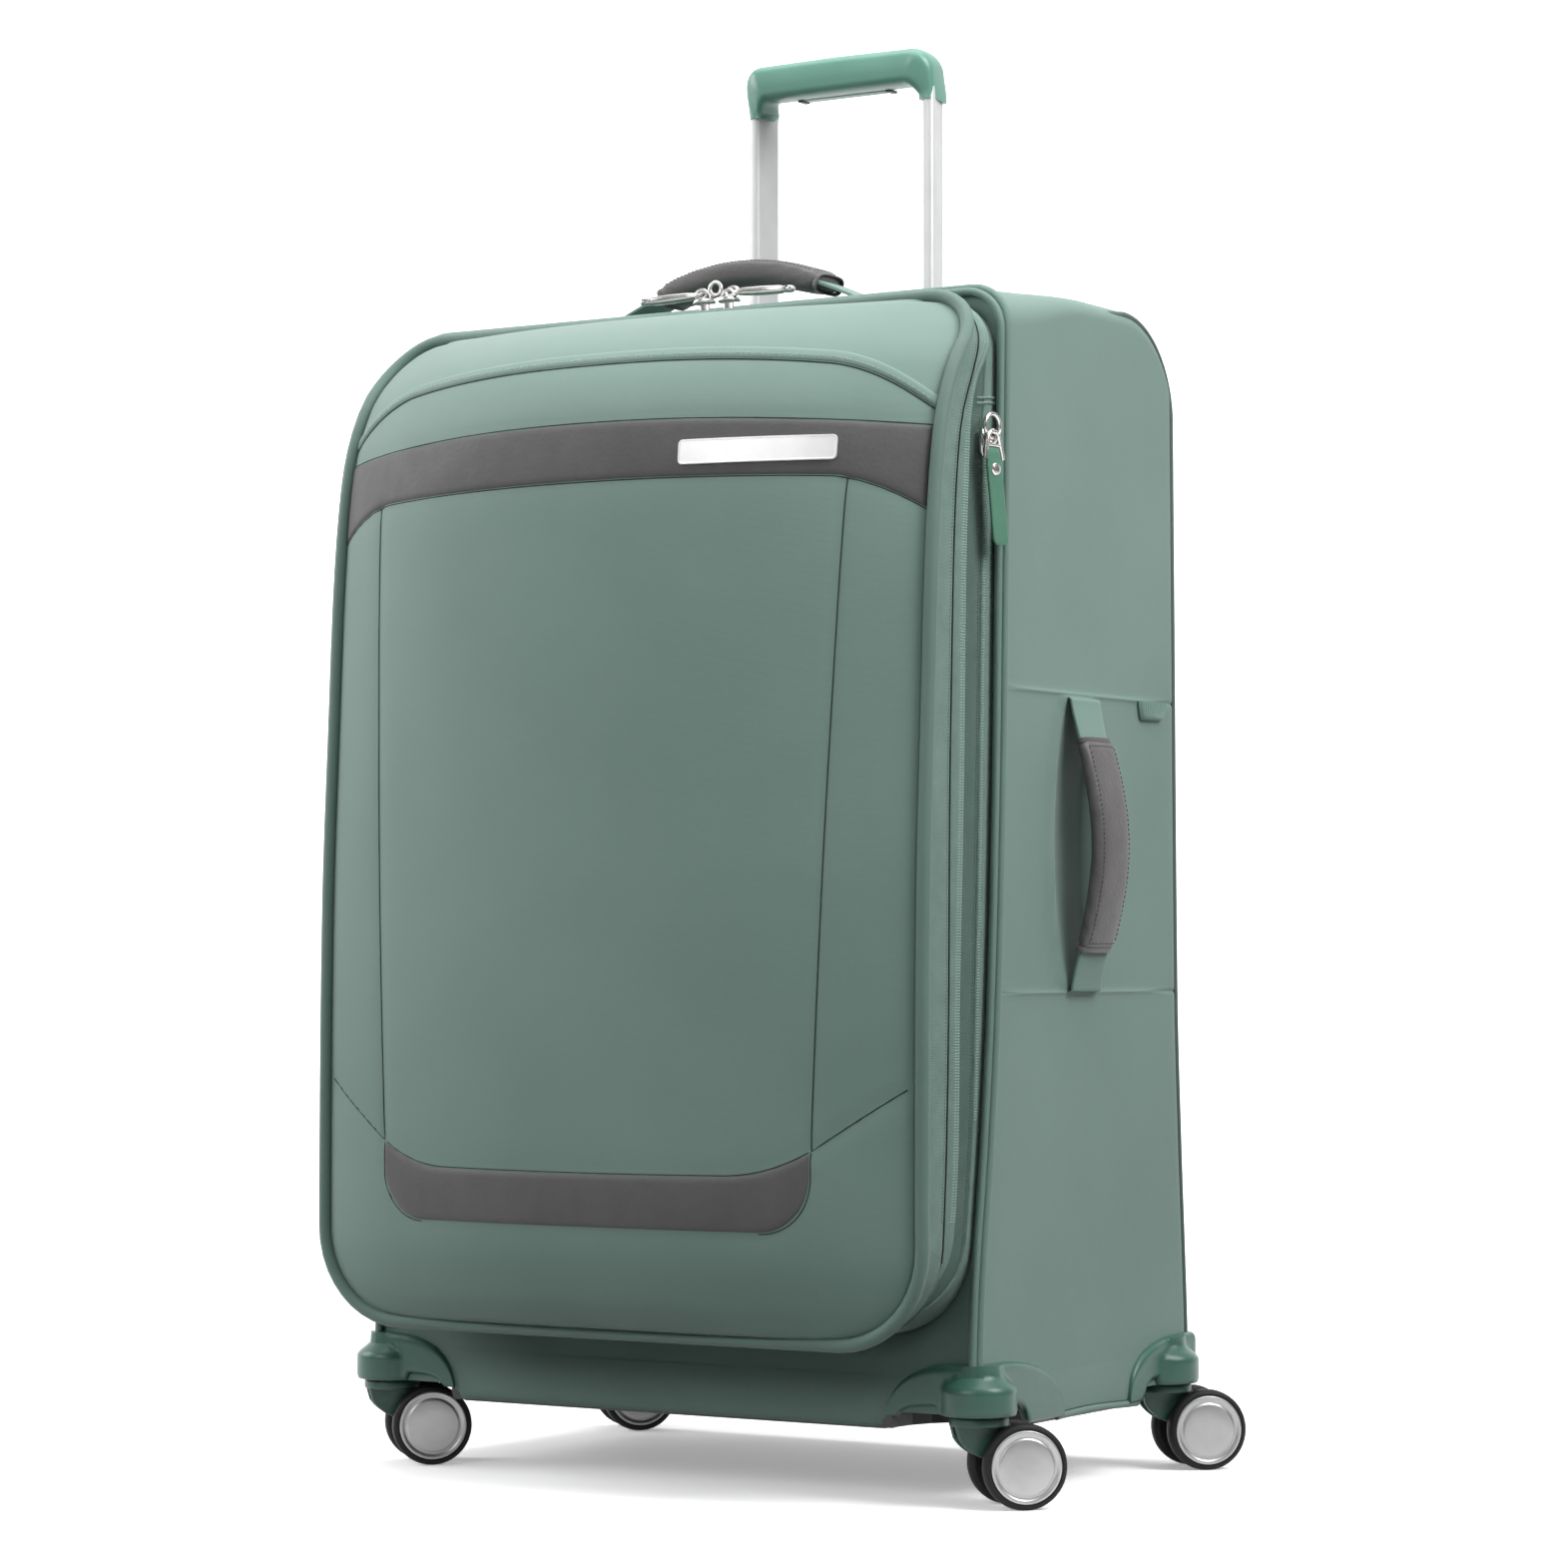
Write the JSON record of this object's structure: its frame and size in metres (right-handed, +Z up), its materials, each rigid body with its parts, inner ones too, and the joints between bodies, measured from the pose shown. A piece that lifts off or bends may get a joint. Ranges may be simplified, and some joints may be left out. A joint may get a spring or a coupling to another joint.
{
  "type": "softside upright suitcase",
  "caption": "Upright fabric suitcase with zipped tapered expander and bottom-hinged lid, telescopic pull handle, carry handles and swivelling twin-wheel casters.",
  "frame": {"origin": "centre of the overall box on the floor plane, under the wheels", "axes": "+Z up along the height, lid towards -Y, side carry handle towards +X"},
  "size_m": [0.5414, 0.4258, 0.9882],
  "materials": {
    "sage_fabric": "smooth woven polyester, satin sheen",
    "zip_tape": "ribbed woven tape",
    "grey_trim": "smooth synthetic leather, matte",
    "green_leather": "embossed synthetic leather",
    "green_plastic": "satin moulded",
    "black_plastic": "fine textured moulded",
    "tyre": "matte rubber",
    "aluminium": "satin anodised",
    "steel": "satin"
  },
  "bodies": {
    "case": {"case_shell": "sage_fabric", "front_piping": "sage_fabric", "rear_piping": "sage_fabric", "frame_hoop_front": "steel", "frame_hoop_rear": "steel", "base_tray": "black_plastic", "corner_guard_front_left": "green_plastic", "corner_guard_front_right": "green_plastic", "corner_guard_rear_left": "green_plastic", "corner_guard_rear_right": "green_plastic", "outer_tube_left": "aluminium", "outer_tube_right": "aluminium", "handle_bezel": "green_plastic", "foot_bracket": "black_plastic", "back_board": "black_plastic", "packing_strap_left": "zip_tape", "packing_strap_right": "zip_tape", "strap_buckle": "black_plastic", "tag_pocket": "sage_fabric"},
    "caster_front_left": {"fork_front_left": "green_plastic", "axle_front_left": "steel"},
    "wheel_front_left_inner": {"wheel_front_left_inner": "tyre"},
    "wheel_front_left_outer": {"wheel_front_left_outer": "tyre"},
    "caster_front_right": {"fork_front_right": "green_plastic", "axle_front_right": "steel"},
    "wheel_front_right_inner": {"wheel_front_right_inner": "tyre"},
    "wheel_front_right_outer": {"wheel_front_right_outer": "tyre"},
    "caster_rear_left": {"fork_rear_left": "green_plastic", "axle_rear_left": "steel"},
    "wheel_rear_left_inner": {"wheel_rear_left_inner": "tyre"},
    "wheel_rear_left_outer": {"wheel_rear_left_outer": "tyre"},
    "caster_rear_right": {"fork_rear_right": "green_plastic", "axle_rear_right": "steel"},
    "wheel_rear_right_inner": {"wheel_rear_right_inner": "tyre"},
    "wheel_rear_right_outer": {"wheel_rear_right_outer": "tyre"},
    "pull_handle": {"handle_grip": "green_plastic", "inner_tube_left": "aluminium", "lock_block_left": "black_plastic", "inner_tube_right": "aluminium", "lock_block_right": "black_plastic"},
    "release": {"push_rod_left": "steel", "push_rod_right": "steel", "release_button": "black_plastic"},
    "expander": {"expander_band": "zip_tape"},
    "lid": {"lid_shell": "sage_fabric", "lid_piping": "sage_fabric", "lid_frame_hoop": "steel", "name_plate": "aluminium"},
    "top_handle": {"top_handle_strap": "sage_fabric", "top_handle_grip": "grey_trim"},
    "side_handle": {"side_handle_strap": "sage_fabric", "side_handle_grip": "grey_trim"},
    "slider_left": {"main_slider_left": "steel"},
    "pull_left": {"main_pull_left": "steel"},
    "slider_right": {"main_slider_right": "steel"},
    "pull_right": {"main_pull_right": "steel"},
    "expansion_slider": {"expansion_slider": "steel"},
    "expansion_tab": {"expansion_pull_tab": "green_leather"},
    "id_tag": {"id_tag": "green_plastic"}
  },
  "joints": [
    {"name": "handle_slide", "type": "slide", "parent": "case", "child": "pull_handle", "axis": [0, 0, 1], "range_m": [-0.165, 0.09]},
    {"name": "release_press", "type": "slide", "parent": "pull_handle", "child": "release", "axis": [0, 0, 1], "range_m": [0, 0.004], "stiffness_N_per_m": 600, "springref_m": -0.004},
    {"name": "swivel_front_left", "type": "hinge", "parent": "case", "child": "caster_front_left", "pos_m": [-0.2467, -0.09494, 0.05871], "axis": [0, 0, 1], "continuous": true},
    {"name": "swivel_front_right", "type": "hinge", "parent": "case", "child": "caster_front_right", "pos_m": [0.2193, -0.09494, 0.05871], "axis": [0, 0, 1], "continuous": true},
    {"name": "swivel_rear_left", "type": "hinge", "parent": "case", "child": "caster_rear_left", "pos_m": [-0.2467, 0.16107, 0.05871], "axis": [0, 0, 1], "continuous": true},
    {"name": "swivel_rear_right", "type": "hinge", "parent": "case", "child": "caster_rear_right", "pos_m": [0.2193, 0.16107, 0.05871], "axis": [0, 0, 1], "continuous": true},
    {"name": "spin_front_left_inner", "type": "hinge", "parent": "caster_front_left", "child": "wheel_front_left_inner", "pos_m": [-0.24144, -0.06513, 0.02721], "axis": [0.7157, -0.6984, 0], "continuous": true},
    {"name": "spin_front_left_outer", "type": "hinge", "parent": "caster_front_left", "child": "wheel_front_left_outer", "pos_m": [-0.21704, -0.08895, 0.02721], "axis": [0.7157, -0.6984, 0], "continuous": true},
    {"name": "spin_front_right_inner", "type": "hinge", "parent": "caster_front_right", "child": "wheel_front_right_inner", "pos_m": [0.22456, -0.06513, 0.02721], "axis": [0.7157, -0.6984, 0], "continuous": true},
    {"name": "spin_front_right_outer", "type": "hinge", "parent": "caster_front_right", "child": "wheel_front_right_outer", "pos_m": [0.24896, -0.08895, 0.02721], "axis": [0.7157, -0.6984, 0], "continuous": true},
    {"name": "spin_rear_left_inner", "type": "hinge", "parent": "caster_rear_left", "child": "wheel_rear_left_inner", "pos_m": [-0.24144, 0.19087, 0.02721], "axis": [0.7157, -0.6984, 0], "continuous": true},
    {"name": "spin_rear_left_outer", "type": "hinge", "parent": "caster_rear_left", "child": "wheel_rear_left_outer", "pos_m": [-0.21704, 0.16705, 0.02721], "axis": [0.7157, -0.6984, 0], "continuous": true},
    {"name": "spin_rear_right_inner", "type": "hinge", "parent": "caster_rear_right", "child": "wheel_rear_right_inner", "pos_m": [0.22456, 0.19087, 0.02721], "axis": [0.7157, -0.6984, 0], "continuous": true},
    {"name": "spin_rear_right_outer", "type": "hinge", "parent": "caster_rear_right", "child": "wheel_rear_right_outer", "pos_m": [0.24896, 0.16705, 0.02721], "axis": [0.7157, -0.6984, 0], "continuous": true},
    {"name": "expander_tilt", "type": "hinge", "parent": "case", "child": "expander", "pos_m": [-0.0137, -0.06394, 0.77571], "axis": [-1, 0, 0], "range_deg": [0, 3.4]},
    {"name": "lid_hinge", "type": "hinge", "parent": "expander", "child": "lid", "pos_m": [-0.0137, -0.14559, 0.10621], "axis": [1, 0, 0], "range_deg": [0, 90]},
    {"name": "top_handle_lift", "type": "slide", "parent": "case", "child": "top_handle", "axis": [0, 0, 1], "range_m": [0, 0.012], "stiffness_N_per_m": 500, "springref_m": -0.003, "deforming": ["top_handle_strap"]},
    {"name": "side_handle_pull", "type": "slide", "parent": "case", "child": "side_handle", "axis": [1, 0, 0], "range_m": [0, 0.012], "stiffness_N_per_m": 500, "springref_m": -0.003, "deforming": ["side_handle_strap"]},
    {"name": "slider_left_slide", "type": "slide", "parent": "expander", "child": "slider_left", "axis": [-1, 0, 0], "range_m": [0, 0.15]},
    {"name": "pull_left_flip", "type": "hinge", "parent": "slider_left", "child": "pull_left", "pos_m": [-0.0027, -0.08034, 0.79421], "axis": [0, 1, 0], "range_deg": [0, 150]},
    {"name": "slider_right_slide", "type": "slide", "parent": "expander", "child": "slider_right", "axis": [1, 0, 0], "range_m": [0, 0.15]},
    {"name": "pull_right_flip", "type": "hinge", "parent": "slider_right", "child": "pull_right", "pos_m": [0.0243, -0.08034, 0.79421], "axis": [0, -1, 0], "range_deg": [0, 150]},
    {"name": "expansion_slider_slide", "type": "slide", "parent": "case", "child": "expansion_slider", "axis": [0, -0.0453, -0.999], "range_m": [0, 0.43]},
    {"name": "expansion_tab_flip", "type": "hinge", "parent": "expansion_slider", "child": "expansion_tab", "pos_m": [0.2285, -0.08843, 0.67671], "axis": [0, -1, 0], "range_deg": [0, 150]},
    {"name": "id_tag_pull", "type": "slide", "parent": "case", "child": "id_tag", "axis": [0, 0, -1], "range_m": [0, 0.06]}
  ]
}
